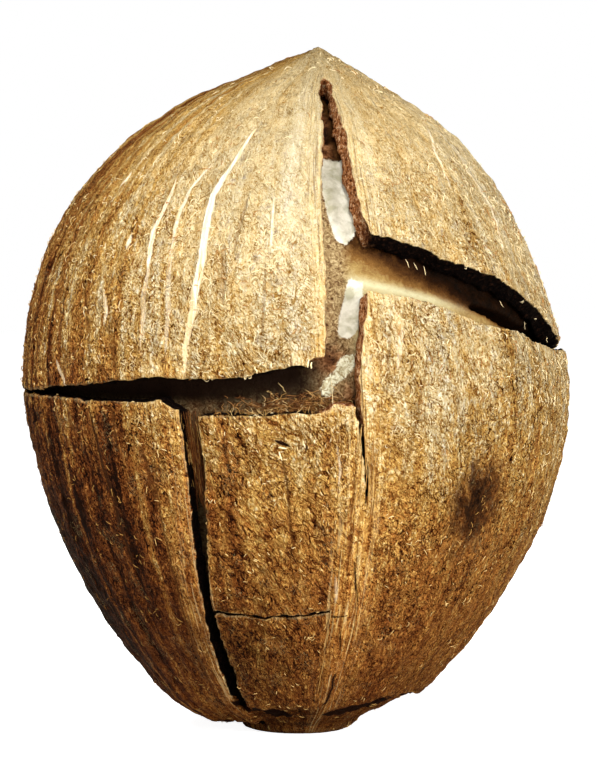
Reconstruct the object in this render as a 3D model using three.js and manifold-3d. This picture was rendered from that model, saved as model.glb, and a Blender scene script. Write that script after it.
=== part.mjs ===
// A dehusked coconut, dried and cracked, standing upright on its eye end.
// Millimetres, +Z up. The origin is the centre of the small flat it stands on,
// and the open cracks face -Y. A place on the nut is a turn and a height: the turn
// is in degrees round the upright axis, 0 at the front and 90 on the +X side.

import * as THREE from 'three';
import { mergeVertices } from 'three/addons/utils/BufferGeometryUtils.js';
import Module from 'manifold-3d';

const wasm = await Module();
wasm.setup();

// Walls and gaps.
const SHELL_WALL = 4.2;
const SHRINK_GAP = 0.6; // the drying kernel has drawn back from the shell by this much
const KERNEL_WALL = 11;

// The outline from the rim of the flat to the tip: height, radius, and how far the
// nut's middle lies towards +X at that height.
const OUTLINE = [
  [0, 9.8, 0],
  [0.7, 11.4, 0],
  [2.2, 14.8, 0],
  [4.4, 20.2, 0],
  [6.9, 25.4, -0.3],
  [12, 31.0, -0.5],
  [20, 37.8, -0.2],
  [30, 44.2, 0.1],
  [42, 50.0, 0.4],
  [56, 54.2, 0.3],
  [72, 56.2, -0.5],
  [86, 54.1, -1.3],
  [100, 49.0, -1.8],
  [113, 41.2, -1.3],
  [123, 31.7, -0.7],
  [130.5, 20.4, 0.1],
  [135.5, 10.1, 2.1],
  [138.6, 3.9, 3.3],
  [140.3, 0, 4.2],
];
const TIP_SLOPE = 0.43; // rise per millimetre of radius right under the tip

// A coconut is a rounded triangle seen from above, with a raised seam on each corner.
const FIRST_SEAM = 13;
const SEAM_STEP = 120;
const TRIANGLE_SWELL = 0.012;
const SEAM_HEIGHT = 0.7;
const SEAM_SPREAD = 5;
const WIDEST_RADIUS = 56;

// The lower left of the shell bulges down beside the foot, and the rim of the shell
// under the right crack has sprung outwards.
const LEFT_BULGE = { turn: -62, height: 1.5, turnSpread: 38, heightSpread: 6.5, depth: 4.8 };
const SPRUNG_RIM = { turn: 84, height: 78, turnSpread: 34, heightSpread: 11, depth: 0.6 };
const BULGE_START = { from: 1.0, full: 2.2 }; // heights between which the bulge sets in

// Long shallow waves left in the shell by the husk fibres.
const WAVE_DEPTH = 0.28;
const WAVES_ROUND = 11;
const WAVE_LENGTH = 23;
const UPWARD_WAVE = { length: 69, drift: 2 }; // drift: how many waves later after one turn

// The foot round the eyes is set in below the collar line: turn, height.
const COLLAR = [
  [-180, 5.0], [-140, 4.6], [-100, 2.6], [-60, 2.2], [-30, 2.6], [-24, 6.1], [0, 6.2],
  [20, 7.0], [40, 8.6], [60, 9.0], [90, 6.4], [120, 6.0], [150, 5.4],
];
const COLLAR_HALVES = [[-180, 20], [0, 220]]; // the turns each half runs between
const FOOT_INSET = 1.1;
const FOOT_RIM = { height: 1.0, inset: 0.4 };

// The three eyes lie between the seams, round the flat.
// Each pit is the low side of an egg shape whose middle floats outside the shell.
const EYE = { height: 2.4, length: 11, width: 8.6, depth: 5, float: 1.9 };
const EYE_TURNS = [73, 193, 313];

// Level cracks, from left to right: turn, height of the lower lip, of the upper lip.
const LEFT_CRACK = [
  [-74, 69.7, 70.3], [-69, 69.7, 70.6], [-65.5, 69.9, 71.1], [-57.5, 69.5, 71.8],
  [-49, 69.2, 72.3], [-43, 69.4, 72.8], [-37, 69.5, 73.6], [-32, 69.5, 74.1],
  [-28, 70.2, 74.4], [-26.8, 69, 74.3], [-24.2, 68, 74.2], [-23, 66.4, 74], [-20, 66.7, 74],
  [-17.5, 67.2, 74.1], [-9, 67.1, 74.5], [-7, 67.2, 75.4], [-3, 67.5, 76.1], [1, 67.8, 76.8],
  [3, 67.8, 76.2], [3.6, 67.8, 78.2], [7, 68.1, 78.8],
];
const RIGHT_CRACK = [
  [14, 91, 101.8], [16, 91, 101.8], [18.8, 90.5, 101.7], [21.7, 90.1, 101.5],
  [25.4, 89.6, 101.1], [29, 88.9, 100.1], [34, 87.5, 99], [36.3, 86.6, 97.6],
  [41.7, 84.9, 96.4], [47.3, 83.6, 94.9], [53.4, 82.8, 93.1], [60.6, 80.6, 90.8],
  [64.6, 80, 89.2], [72.3, 78.6, 86.9], [78.8, 78.4, 83.2], [86, 78.1, 80.4],
];
const BACK_CRACK = [
  [84, 78.2, 80.8], [95, 77.5, 78.8], [105, 75.8, 76.5], [118, 76.6, 77.2], [130, 74.5, 75.1],
  [145, 73.7, 74.3], [158, 74.8, 75.4], [170, 72.5, 73.1], [183, 71.8, 72.4],
  [196, 73.2, 73.8], [210, 70.9, 71.5], [225, 71.7, 72.3], [240, 69.2, 69.8],
  [255, 70.3, 70.9], [272, 69.3, 69.9], [288, 69.7, 70.4],
];
const CHIP_SPLIT = [
  [-25, 27.6, 28.1], [-18, 27.4, 27.9], [-12.7, 27, 27.5], [-4.6, 27.1, 27.6],
  [0.7, 27.6, 28.1], [5.9, 28, 28.5], [10.5, 28.7, 29.2],
];
const CHIP_FOOT = [[-26, 5.9, 6.4], [-10, 6.0, 6.5], [12, 6.4, 6.9]];

// Upright cracks, from the top down: height, turn of the left lip, of the right lip.
const TIP_SLIT = [
  [134, 9.8, 12.6], [132.5, 7.8, 15.2], [129.9, 7.6, 14.7], [124.7, 8.2, 15],
  [122, 8.6, 16.3], [114, 8.2, 16.7], [106.3, 8, 17.5], [101.7, 8, 18.8], [97, 7.9, 18.8],
];
const MIDDLE_GAP = [
  [100, 8, 17], [91, 7.5, 16], [87.2, 7.1, 15.2], [79.1, 6.4, 13.2], [75.9, 6, 12.5],
  [69.5, 6, 12.4], [69.2, 11.4, 12.3], [68.4, 11.5, 12.3], [66, 11.8, 12.7],
];
const LEFT_GAP = [
  [68.5, -24.1, -19.9], [64.3, -24, -20.1], [56.6, -24, -19.8], [50.7, -24, -20.4],
  [44.8, -24.4, -21], [38.8, -24.9, -21.8], [32.6, -25.1, -22.6], [28.1, -25.3, -22.9],
  [21, -26, -22.2], [15.5, -26.4, -21.2], [11.3, -26.4, -21.8], [7.8, -27.5, -21.9],
  [5.9, -28.7, -22],
];
const SEAM_CRACK = [
  [66.6, 11.8, 12.6], [60.6, 12.7, 13.3], [53.2, 13.6, 14.2], [49.9, 13.7, 14.3],
  [45, 11.4, 12], [40.5, 9.4, 10.1], [34.4, 9.1, 9.8], [28.8, 9.2, 9.9], [23.6, 11.4, 12.2],
  [17.1, 12.4, 13.3], [11.6, 11.9, 13], [7.8, 9.9, 11.2], [6, 9.6, 11.2],
];
// The kernel's own crack, in the dark end of the right crack.
const KERNEL_CRACK = [
  [42, 89.6, 90.1], [50, 87.4, 89.4], [58, 85, 87.7], [66, 83.1, 85.9], [74, 81.4, 84],
  [82, 80.4, 82.4], [90, 79.8, 80.4],
];

// A broken face slants: the far end of its cutter is shifted by a turn and a height.
const REACH = { outside: 3, collar: 9, shell: 9, kernel: 20 };
const STRAIGHT = [0, 0];
const SLIT_SLANT = [-2.6, 0];
const OVERHANG_SLANT = [0, -3.4];

const MESH_COUNTS = { outerColumns: 54, outerRows: 28, innerColumns: 36, innerRows: 20 };
const CAVITY_COUNTS = { columns: 24, rows: 14 };
const END_CROWDING = 0.55; // 0 spaces the rows evenly, 1 crowds them at both poles
const SMALLEST_RING = 1.5;
const POLE_RADIUS = 0.01; // anything nearer the upright axis than this is a pole
const HALVINGS = 30; // steps in the search for a height on the outline

const COLOURS = {
  shellUpper: 0xb98a4e,
  shellLower: 0x8f5f33,
  chipUpper: 0xa4713d,
  chipLower: 0x6e4326,
  kernel: 0xd9c9a3,
};

const meridian = new THREE.CatmullRomCurve3(
  OUTLINE.map(([height, radius, shift]) => new THREE.Vector3(radius, shift, height)),
  false,
  'centripetal',
);

// The place on the outline at a height, as a fraction of the curve.
function fractionAt(height) {
  let low = 0;
  let high = 1;
  for (let step = 0; step < HALVINGS; step += 1) {
    const middle = (low + high) / 2;
    if (meridian.getPoint(middle).z < height) {
      low = middle;
    } else {
      high = middle;
    }
  }
  return (low + high) / 2;
}

function shiftAt(height) {
  return meridian.getPoint(fractionAt(height)).y;
}

function degreesBetween(turn, centre) {
  return THREE.MathUtils.euclideanModulo(turn - centre + 180, 360) - 180;
}

function triangleSwell(turn) {
  return 1 + TRIANGLE_SWELL * Math.cos(THREE.MathUtils.degToRad(3 * (turn - FIRST_SEAM)));
}

// A point a depth below the smooth outside, measured square to the outline.
function pointBelow(turn, height, depth) {
  const fraction = fractionAt(height);
  const at = meridian.getPoint(fraction);
  const along = meridian.getTangent(fraction);
  const radius = at.x * triangleSwell(turn) - depth * along.z;
  const angle = THREE.MathUtils.degToRad(turn);
  return new THREE.Vector3(
    at.y + radius * Math.sin(angle),
    -radius * Math.cos(angle),
    at.z + depth * along.x,
  );
}

function bump(shape, turn, height) {
  const across = degreesBetween(turn, shape.turn) / shape.turnSpread;
  const up = (height - shape.height) / shape.heightSpread;
  return shape.depth * Math.exp(-across * across - up * up);
}

function seamRelief(turn, radius) {
  const fromSeam = THREE.MathUtils.euclideanModulo(turn - FIRST_SEAM, SEAM_STEP);
  const degrees = Math.min(fromSeam, SEAM_STEP - fromSeam) / SEAM_SPREAD;
  return SEAM_HEIGHT * Math.exp(-degrees * degrees) * (radius / WIDEST_RADIUS);
}

function waveRelief(turn, height, radius) {
  const round = Math.sin(THREE.MathUtils.degToRad(WAVES_ROUND * turn) + height / WAVE_LENGTH);
  const drift = THREE.MathUtils.degToRad(UPWARD_WAVE.drift * turn);
  const upward = Math.sin((2 * Math.PI * height) / UPWARD_WAVE.length + drift);
  return WAVE_DEPTH * (round + upward) * (radius / WIDEST_RADIUS);
}

// The outside of the shell, where rimSwell is 1 for the pieces under the right crack.
function outsideRadius(turn, height, radius, rimSwell) {
  const clearOfFlat = THREE.MathUtils.smoothstep(height, BULGE_START.from, BULGE_START.full);
  const bulge = bump(LEFT_BULGE, turn, height) * clearOfFlat;
  const rim = rimSwell * bump(SPRUNG_RIM, turn, height);
  const relief = (seamRelief(turn, radius) + waveRelief(turn, height, radius)) * clearOfFlat;
  return radius * triangleSwell(turn) + bulge + rim + relief;
}

function insideRadius(turn, height, radius) {
  return radius * triangleSwell(turn);
}

// The outline moved inwards by a depth, as a lathe profile from pole to pole.
function profileBelow(depth, rows) {
  const rings = [];
  for (let row = 0; row <= rows; row += 1) {
    const even = row / rows;
    const fraction = even - (END_CROWDING * Math.sin(2 * Math.PI * even)) / (2 * Math.PI);
    const at = meridian.getPointAt(fraction);
    const along = meridian.getTangentAt(fraction);
    rings.push(new THREE.Vector2(at.x - depth * along.z, at.z + depth * along.x));
  }
  const kept = rings.filter((ring) => ring.x > SMALLEST_RING);
  const first = kept[0];
  const last = kept[kept.length - 1];
  const bottom = new THREE.Vector2(0, first.y);
  const top = new THREE.Vector2(0, last.y + last.x * TIP_SLOPE);
  return [bottom, ...kept, top];
}

// A closed geometry, with each corner moved by a function, as a solid to join and cut.
function toSolid(geometry, moveCorner) {
  geometry.deleteAttribute('normal');
  geometry.deleteAttribute('uv');
  const merged = mergeVertices(geometry);
  const corners = merged.getAttribute('position');
  const corner = new THREE.Vector3();
  for (let i = 0; i < corners.count; i += 1) {
    corner.fromBufferAttribute(corners, i);
    const moved = moveCorner(corner);
    corners.setXYZ(i, moved.x, moved.y, moved.z);
  }
  const index = Array.from(merged.getIndex().array);
  const triangles = [];
  for (let i = 0; i < index.length; i += 3) {
    const [a, b, c] = index.slice(i, i + 3);
    if (a !== b && b !== c && c !== a) {
      triangles.push(a, b, c);
    }
  }
  const mesh = new wasm.Mesh({
    numProp: 3,
    vertProperties: new Float32Array(corners.array),
    triVerts: new Uint32Array(triangles),
  });
  return new wasm.Manifold(mesh);
}

// A body turned from the outline at a depth. Its radius is then set by radiusAt.
function nutBody(depth, columns, rows, radiusAt) {
  const seam = THREE.MathUtils.degToRad(FIRST_SEAM);
  const lathe = new THREE.LatheGeometry(profileBelow(depth, rows), columns, seam, 2 * Math.PI);
  lathe.rotateX(Math.PI / 2);
  return toSolid(lathe, (corner) => {
    const radius = Math.hypot(corner.x, corner.y);
    const turn = THREE.MathUtils.radToDeg(Math.atan2(corner.x, -corner.y));
    const scale = radius > POLE_RADIUS ? radiusAt(turn, corner.z, radius) / radius : 0;
    return new THREE.Vector3(
      corner.x * scale + shiftAt(corner.z),
      corner.y * scale,
      corner.z,
    );
  });
}

// A ribbon through the wall between the two lips of a crack. A station holds a turn and
// a height for either lip, and each lip's slant shifts the inner edge of its face.
function ribbon(stations, slants, reach) {
  const last = stations.length - 1;
  const box = new THREE.BoxGeometry(1, 1, last, 1, 1, last);
  return toSolid(box, (corner) => {
    const station = stations[Math.round(corner.z + last / 2)];
    const lip = corner.x < 0 ? 0 : 1;
    const depth = corner.y < 0 ? reach : -REACH.outside;
    const share = depth / reach;
    const turn = station[2 * lip] + slants[lip][0] * share;
    const height = station[2 * lip + 1] + slants[lip][1] * share;
    return pointBelow(turn, height, depth);
  });
}

function levelCrack(stations, slants = [STRAIGHT, STRAIGHT], reach = REACH.shell) {
  const lips = stations.map(([turn, low, high]) => [turn, low, turn, high]);
  return ribbon(lips, slants, reach);
}

function uprightCrack(stations, slants = [STRAIGHT, STRAIGHT], reach = REACH.shell) {
  const lips = stations.map(([height, left, right]) => [left, height, right, height]);
  return ribbon(lips, slants, reach);
}

// What is cut away under the collar line, so that the foot is set in. Two halves, each
// a little longer than half a turn.
function collarCut(fromTurn, toTurn) {
  const line = [...COLLAR, [COLLAR[0][0] + 360, COLLAR[0][1]], [COLLAR[1][0] + 360, COLLAR[1][1]]];
  const stretch = line.filter(([turn]) => turn >= fromTurn && turn <= toTurn);
  const last = stretch.length - 1;
  const box = new THREE.BoxGeometry(1, 1, last, 1, 1, last);
  return toSolid(box, (corner) => {
    const [turn, collar] = stretch[Math.round(corner.z + last / 2)];
    const height = corner.x < 0 ? FOOT_RIM.height : collar;
    const inset = corner.x < 0 ? FOOT_RIM.inset : FOOT_INSET;
    return pointBelow(turn, height, corner.y < 0 ? inset : -REACH.collar);
  });
}

function eyePit(turn) {
  const ball = new THREE.SphereGeometry(1, 12, 8);
  const centre = pointBelow(turn, EYE.height, -EYE.float);
  const inwards = pointBelow(turn, EYE.height, 1 - EYE.float).sub(centre);
  const facing = new THREE.Quaternion().setFromUnitVectors(new THREE.Vector3(0, 0, 1), inwards);
  const place = new THREE.Matrix4().compose(
    centre,
    facing,
    new THREE.Vector3(EYE.length / 2, EYE.width / 2, EYE.depth),
  );
  return toSolid(ball, (corner) => corner.applyMatrix4(place));
}

function crackCutters() {
  return [
    levelCrack(LEFT_CRACK),
    levelCrack(RIGHT_CRACK, [STRAIGHT, OVERHANG_SLANT]),
    levelCrack(BACK_CRACK),
    levelCrack(CHIP_SPLIT),
    levelCrack(CHIP_FOOT),
    uprightCrack(TIP_SLIT, [STRAIGHT, SLIT_SLANT]),
    uprightCrack(MIDDLE_GAP),
    uprightCrack(LEFT_GAP),
    uprightCrack(SEAM_CRACK),
  ];
}

// The whole shell, cracked: its pieces with the one that reaches highest first.
function shellPieces(rimSwell) {
  const { outerColumns, outerRows, innerColumns, innerRows } = MESH_COUNTS;
  const outsideAt = (turn, height, radius) => outsideRadius(turn, height, radius, rimSwell);
  let shell = nutBody(0, outerColumns, outerRows, outsideAt);
  shell = shell.subtract(nutBody(SHELL_WALL, innerColumns, innerRows, insideRadius));
  const feet = COLLAR_HALVES.map(([fromTurn, toTurn]) => collarCut(fromTurn, toTurn));
  const eyes = EYE_TURNS.map(eyePit);
  for (const cutter of [...crackCutters(), ...feet, ...eyes]) {
    shell = shell.subtract(cutter);
  }
  const reachOf = (piece) => piece.boundingBox().max[2];
  return shell.decompose().sort((a, b) => reachOf(b) - reachOf(a));
}

// The white meat with its brown skin: a hollow body that its own crack opens.
function kernelSolid() {
  const { innerColumns, innerRows } = MESH_COUNTS;
  const outside = nutBody(SHELL_WALL + SHRINK_GAP, innerColumns, innerRows, insideRadius);
  const depth = SHELL_WALL + SHRINK_GAP + KERNEL_WALL;
  const cavity = nutBody(depth, CAVITY_COUNTS.columns, CAVITY_COUNTS.rows, insideRadius);
  const crack = levelCrack(KERNEL_CRACK, [STRAIGHT, STRAIGHT], REACH.kernel);
  return outside.subtract(cavity).subtract(crack);
}

function namedMesh(name, solid, colour, roughness) {
  const { vertProperties, triVerts } = solid.getMesh();
  const geometry = new THREE.BufferGeometry();
  geometry.setAttribute('position', new THREE.BufferAttribute(vertProperties, 3));
  geometry.setIndex(new THREE.BufferAttribute(triVerts, 1));
  geometry.computeVertexNormals();
  const material = new THREE.MeshStandardMaterial({ color: colour, roughness, metalness: 0 });
  const mesh = new THREE.Mesh(geometry, material);
  mesh.name = name;
  return mesh;
}

const [upperShell] = shellPieces(0);
const [, lowerShell, upperChip, lowerChip] = shellPieces(1);

const coconut = new THREE.Group();
coconut.add(namedMesh('shell_upper', upperShell, COLOURS.shellUpper, 0.7));
coconut.add(namedMesh('shell_lower', lowerShell, COLOURS.shellLower, 0.75));
coconut.add(namedMesh('shell_chip_upper', upperChip, COLOURS.chipUpper, 0.75));
coconut.add(namedMesh('shell_chip_lower', lowerChip, COLOURS.chipLower, 0.8));
coconut.add(namedMesh('kernel', kernelSolid(), COLOURS.kernel, 0.6));

export default coconut;
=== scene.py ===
import math
import random

import bmesh
import bpy
import numpy as np
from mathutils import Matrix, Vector, noise
from mathutils.bvhtree import BVHTree
from mathutils.kdtree import KDTree


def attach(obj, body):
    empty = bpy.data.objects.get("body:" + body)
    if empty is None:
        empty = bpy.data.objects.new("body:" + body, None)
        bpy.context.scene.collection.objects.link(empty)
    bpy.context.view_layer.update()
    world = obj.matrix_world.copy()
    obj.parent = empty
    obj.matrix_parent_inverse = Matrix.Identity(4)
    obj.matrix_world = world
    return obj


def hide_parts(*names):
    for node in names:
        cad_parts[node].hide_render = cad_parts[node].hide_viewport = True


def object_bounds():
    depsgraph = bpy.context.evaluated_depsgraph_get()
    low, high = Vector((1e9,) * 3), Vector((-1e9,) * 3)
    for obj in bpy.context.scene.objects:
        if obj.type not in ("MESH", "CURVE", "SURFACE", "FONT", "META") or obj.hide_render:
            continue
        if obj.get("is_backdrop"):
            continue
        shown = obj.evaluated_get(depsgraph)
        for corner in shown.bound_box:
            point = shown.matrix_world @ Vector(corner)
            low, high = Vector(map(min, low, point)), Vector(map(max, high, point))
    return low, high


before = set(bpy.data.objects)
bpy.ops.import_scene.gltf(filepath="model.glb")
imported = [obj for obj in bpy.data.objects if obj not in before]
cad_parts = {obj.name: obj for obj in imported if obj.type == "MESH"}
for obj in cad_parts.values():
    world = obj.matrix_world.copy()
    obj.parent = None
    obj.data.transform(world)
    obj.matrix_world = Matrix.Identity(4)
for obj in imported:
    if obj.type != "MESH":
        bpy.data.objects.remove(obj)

cad_low, cad_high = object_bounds()


# ---- The view -------------------------------------------------------------------
# The nut is seen from the front and a little above level, filling the frame.
# The camera stands well back, so the outline is close to a straight-on view.
VIEW_DISTANCE = 0.7
VIEW_TILT = math.radians(2.5)
VIEW_HEIGHT = 0.1605
VIEW_CENTRE = Vector((0.0003, 0, 0.0697))
SENSOR_HEIGHT = 36


def placed(name, data):
    """A new object in the scene, made of the given data."""
    thing = bpy.data.objects.new(name, data)
    bpy.context.collection.objects.link(thing)
    return thing


to_camera = Vector((0, -math.cos(VIEW_TILT), math.sin(VIEW_TILT)))
camera_data = bpy.data.cameras.new("view")
camera_data.sensor_fit = "VERTICAL"
camera_data.sensor_height = SENSOR_HEIGHT
camera_data.lens = SENSOR_HEIGHT * VIEW_DISTANCE / VIEW_HEIGHT
camera = placed("view", camera_data)
camera.location = VIEW_CENTRE + to_camera * VIEW_DISTANCE
camera.rotation_euler = to_camera.to_track_quat("Z", "Y").to_euler()
bpy.context.scene.camera = camera
bpy.context.scene.view_settings.view_transform = "Standard"
bpy.context.scene.view_settings.look = "None"


# ---- The lights -----------------------------------------------------------------
# Four soft lights: one high on the left, one high in front, and two low ones on the right
# and in front, so that the lower left falls into shade. The room is white but dim.
LAMP_COLOUR = (1, 0.96, 0.9)
LAMPS = [  # name, place, size, watts
    ("high_left", (-0.55, -0.25, 0.92), 0.4, 12),
    ("high_front", (0.08, -0.76, 0.72), 0.3, 7.3),
    ("low_right", (0.76, -0.64, 0.16), 0.3, 8.8),
    ("low_front", (0.26, -0.9, 0.06), 0.3, 2.8),
]
ROOM_COLOUR = (1, 1, 1, 1)
FILL_COLOUR = (1, 0.97, 0.92, 1)
FILL_STRENGTH = 0.12

for name, place, size, watts in LAMPS:
    data = bpy.data.lights.new(name, "AREA")
    data.shape = "DISK"
    data.size = size
    data.energy = watts
    data.color = LAMP_COLOUR
    lamp = placed(name, data)
    lamp.location = place
    lamp.rotation_euler = (Vector(place) - VIEW_CENTRE).to_track_quat("Z", "Y").to_euler()


def add_node(tree, kind, inputs=(), **settings):
    """A shader node with its settings, and its inputs set or joined to other nodes."""
    node = tree.nodes.new("ShaderNode" + kind)
    for name, value in settings.items():
        setattr(node, name, value)
    for socket, value in dict(inputs).items():
        value = getattr(value, "socket", value)
        if isinstance(value, bpy.types.NodeSocket):
            tree.links.new(value, node.inputs[socket])
        else:
            node.inputs[socket].default_value = value
    return node


world = bpy.data.worlds.new("white_room")
bpy.context.scene.world = world
world.use_nodes = True
room = world.node_tree
room.nodes.clear()
seen = add_node(room, "LightPath")
shown = add_node(room, "Background", {"Color": ROOM_COLOUR, "Strength": 1.0})
fill = add_node(room, "Background", {"Color": FILL_COLOUR, "Strength": FILL_STRENGTH})
layers = {0: seen.outputs["Is Camera Ray"], 1: fill.outputs[0], 2: shown.outputs[0]}
both = add_node(room, "MixShader", layers)
add_node(room, "OutputWorld", {"Surface": both.outputs[0]})


# ---- The floor ------------------------------------------------------------------
# A plain white table top with a trace of shine, large enough to run out of view.
# It throws only some light back up, so the underside stays dark.
FLOOR_RADIUS = 3.0
FLOOR_WHITE = (0.9, 0.9, 0.9, 1)
FLOOR_GLOW = 0.97
FLOOR_SHINE = 0.05
FLOOR_ROUGHNESS = 0.12
BOUNCED_COLOUR = (0.8, 0.72, 0.62, 1)


def new_material(name):
    """An empty material, and the tree that its nodes go into."""
    material = bpy.data.materials.new(name)
    material.use_nodes = True
    material.node_tree.nodes.clear()
    return material, material.node_tree


floor_mesh = bpy.data.meshes.new("floor")
shape = bmesh.new()
bmesh.ops.create_circle(shape, cap_ends=True, segments=64, radius=FLOOR_RADIUS)
shape.to_mesh(floor_mesh)
shape.free()
floor = placed("floor", floor_mesh)

white_top, top = new_material("white_top")
seen = add_node(top, "LightPath")
bright = add_node(top, "Emission", {"Color": ROOM_COLOUR, "Strength": FLOOR_GLOW})
matt = add_node(top, "BsdfDiffuse", {"Color": FLOOR_WHITE})
lit = add_node(top, "AddShader", {0: bright.outputs[0], 1: matt.outputs[0]})
gloss = {"Color": ROOM_COLOUR, "Roughness": FLOOR_ROUGHNESS}
shine = add_node(top, "BsdfGlossy", gloss)
layers = {0: FLOOR_SHINE, 1: lit.outputs[0], 2: shine.outputs[0]}
polished = add_node(top, "MixShader", layers)
dull = add_node(top, "BsdfDiffuse", {"Color": BOUNCED_COLOUR})
layers = {0: seen.outputs["Is Camera Ray"], 1: dull.outputs[0], 2: polished.outputs[0]}
told = add_node(top, "MixShader", layers)
add_node(top, "OutputMaterial", {"Surface": told.outputs[0]})
floor_mesh.materials.append(white_top)
floor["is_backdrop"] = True


# ---- The shell ------------------------------------------------------------------
# Hard brown shell about 4 mm thick, scraped clean of its husk, dried and cracked. The
# nut is lathe-like: its outline is given by height, and its fibres run from eye to tip.
# Heights and depths in these tables are in millimetres, turns in degrees.
MM = 0.001
OUTLINE = [
    (0, 9.8, 0), (0.7, 11.4, 0), (2.2, 14.8, 0), (4.4, 20.2, 0), (6.9, 25.4, -0.3),
    (12, 31.0, -0.5), (20, 37.8, -0.2), (30, 44.2, 0.1), (42, 50.0, 0.4), (56, 54.2, 0.3),
    (72, 56.2, -0.5), (86, 54.1, -1.3), (100, 49.0, -1.8), (113, 41.2, -1.3),
    (123, 31.7, -0.7), (130.5, 20.4, 0.1), (135.5, 10.1, 2.1), (138.6, 3.9, 3.3),
    (140.3, 0, 4.2),
]
FIRST_SEAM = 13
SEAM_STEP = 120
SEAM_HEIGHT = 0.7
SEAM_SPREAD = 5
TRIANGLE_SWELL = 0.012
WIDEST = 56.0
SHELL_WALL = 4.2
WAVE_DEPTH = 0.28
WAVES_ROUND = 11
WAVE_LENGTH = 23
UPWARD_WAVE = 69
# Swellings: how far each stands out, the turn and height of its middle, and its spread.
LEFT_BULGE = [(4.8, (-62, 1.5), (38, 6.5))]
SPRUNG_RIM = [(0.6, (84, 78), (34, 11))]
BULGE_START = (1.0, 2.2)
FOOT_TOP = 9.4
TIP_LEAN = 1.5
EVEN_MESH = 0.63
HIDDEN_SHARE = 0.08
BOX_MARGIN = 0.02


def through(heights, column):
    """A smooth curve through one column of the outline."""
    xs = np.array([row[0] for row in OUTLINE], float)
    ys = np.array([row[column] for row in OUTLINE], float)
    slopes = np.gradient(ys, xs)
    at = np.clip(np.searchsorted(xs, heights) - 1, 0, len(xs) - 2)
    gap = xs[at + 1] - xs[at]
    t = np.clip((heights - xs[at]) / gap, 0, 1)
    start = (1 + 2 * t) * (1 - t) ** 2 * ys[at] + t * (1 - t) ** 2 * gap * slopes[at]
    end = t * t * (3 - 2 * t) * ys[at + 1] + t * t * (t - 1) * gap * slopes[at + 1]
    return start + end


def smoothstep(low, high, value):
    t = np.clip((value - low) / (high - low), 0, 1)
    return t * t * (3 - 2 * t)


def turn_between(turn, centre):
    return (turn - centre + 180) % 360 - 180


def bump(turn, height, centre, spread):
    """1 at a place on the nut, falling to 0 over the spread in turn and height."""
    across = turn_between(turn, centre[0]) / spread[0]
    return np.exp(-across**2 - ((height - centre[1]) / spread[1]) ** 2)


def patches(turn, height, rows):
    """The sum of some bumps, each an amount, a centre and a spread."""
    return sum(amount * bump(turn, height, centre, spread) for amount, centre, spread in rows)


def from_seam(turn):
    """How many degrees away the nearest of the three seams is."""
    return (turn - FIRST_SEAM + SEAM_STEP / 2) % SEAM_STEP - SEAM_STEP / 2


def skin_radius(turn, height, sprung):
    """How far the outside of the shell is from the nut's middle line."""
    radius = through(height, 1)
    clear = smoothstep(*BULGE_START, height)
    seam = SEAM_HEIGHT * np.exp(-((from_seam(turn) / SEAM_SPREAD) ** 2))
    wave = np.sin(np.radians(WAVES_ROUND * turn) + height / WAVE_LENGTH)
    wave = WAVE_DEPTH * (wave + np.sin(2 * np.pi * height / UPWARD_WAVE + np.radians(2 * turn)))
    bulge = patches(turn, height, LEFT_BULGE)
    rim = sprung * patches(turn, height, SPRUNG_RIM)
    swollen = radius * (1 + TRIANGLE_SWELL * np.cos(np.radians(3 * (turn - FIRST_SEAM))))
    return swollen + clear * (bulge + (seam + wave) * radius / WIDEST) + rim


def run_at(height):
    """The distance along the outline from the flat up to a height."""
    steps = np.linspace(0, OUTLINE[-1][0], 400)
    radii = through(steps, 1)
    length = np.concatenate([[0], np.cumsum(np.hypot(np.diff(steps), np.diff(radii)))])
    return np.interp(height, steps, length)


def place_on(turn, height, depth):
    """A point a depth below the outside of the shell, in millimetres."""
    slope = float(through(height + 0.5, 1) - through(height - 0.5, 1))
    level = 1 / math.hypot(1, slope)
    radius = float(skin_radius(turn, height, 0.0)) - depth * level
    angle = math.radians(turn)
    across = float(through(height, 2)) + radius * math.sin(angle)
    return Vector((across, -radius * math.cos(angle), height + depth * slope * level))


class Places:
    """Where each vertex of a mesh lies on the nut: turn, height, depth under the skin."""

    def __init__(self, mesh, sprung):
        flat = np.empty(3 * len(mesh.vertices))
        mesh.vertices.foreach_get("co", flat)
        self.mesh = mesh
        self.at = flat.reshape(-1, 3) / MM
        x = self.at[:, 0] - through(self.at[:, 2], 2)
        self.height = np.clip(self.at[:, 2], 0, OUTLINE[-1][0])
        self.turn = np.degrees(np.arctan2(x, -self.at[:, 1]))
        self.radius = np.hypot(x, self.at[:, 1])
        self.run = run_at(self.height)
        slope = through(self.height + 0.5, 1) - through(self.height - 0.5, 1)
        level = 1 / np.hypot(1, slope)
        angle = np.radians(self.turn)
        self.outwards = np.stack(
            [np.sin(angle) * level, -np.cos(angle) * level, -slope * level], axis=1
        )
        self.depth = (skin_radius(self.turn, self.height, sprung) - self.radius) * level

    def fibre_place(self, across, along):
        """Where a vertex is in the pattern of the fibres, in cells of the given size."""
        angle = np.radians(self.turn)
        round_about = WIDEST / across
        return np.stack(
            [round_about * np.sin(angle), -round_about * np.cos(angle), self.run / along], axis=1
        )

    def move(self, shift):
        """Moves the vertices, and keeps them inside the box of the solids."""
        low = np.array(cad_low) / MM + BOX_MARGIN
        high = np.array(cad_high) / MM - BOX_MARGIN
        self.at = np.clip(self.at + shift, low, high)
        self.mesh.vertices.foreach_set("co", (self.at * MM).ravel())

    def keep(self, name, values):
        kind = "FLOAT_VECTOR" if values.ndim == 2 else "FLOAT"
        kept = self.mesh.attributes.new(name, kind, "POINT")
        kept.data.foreach_set("vector" if values.ndim == 2 else "value", values.ravel())


def grain_noise(cells, seed):
    offset = Vector((17.3 * seed, 5.1 * seed, 9.7 * seed))
    return np.array([noise.noise(Vector(cell) + offset) for cell in cells])


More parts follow.
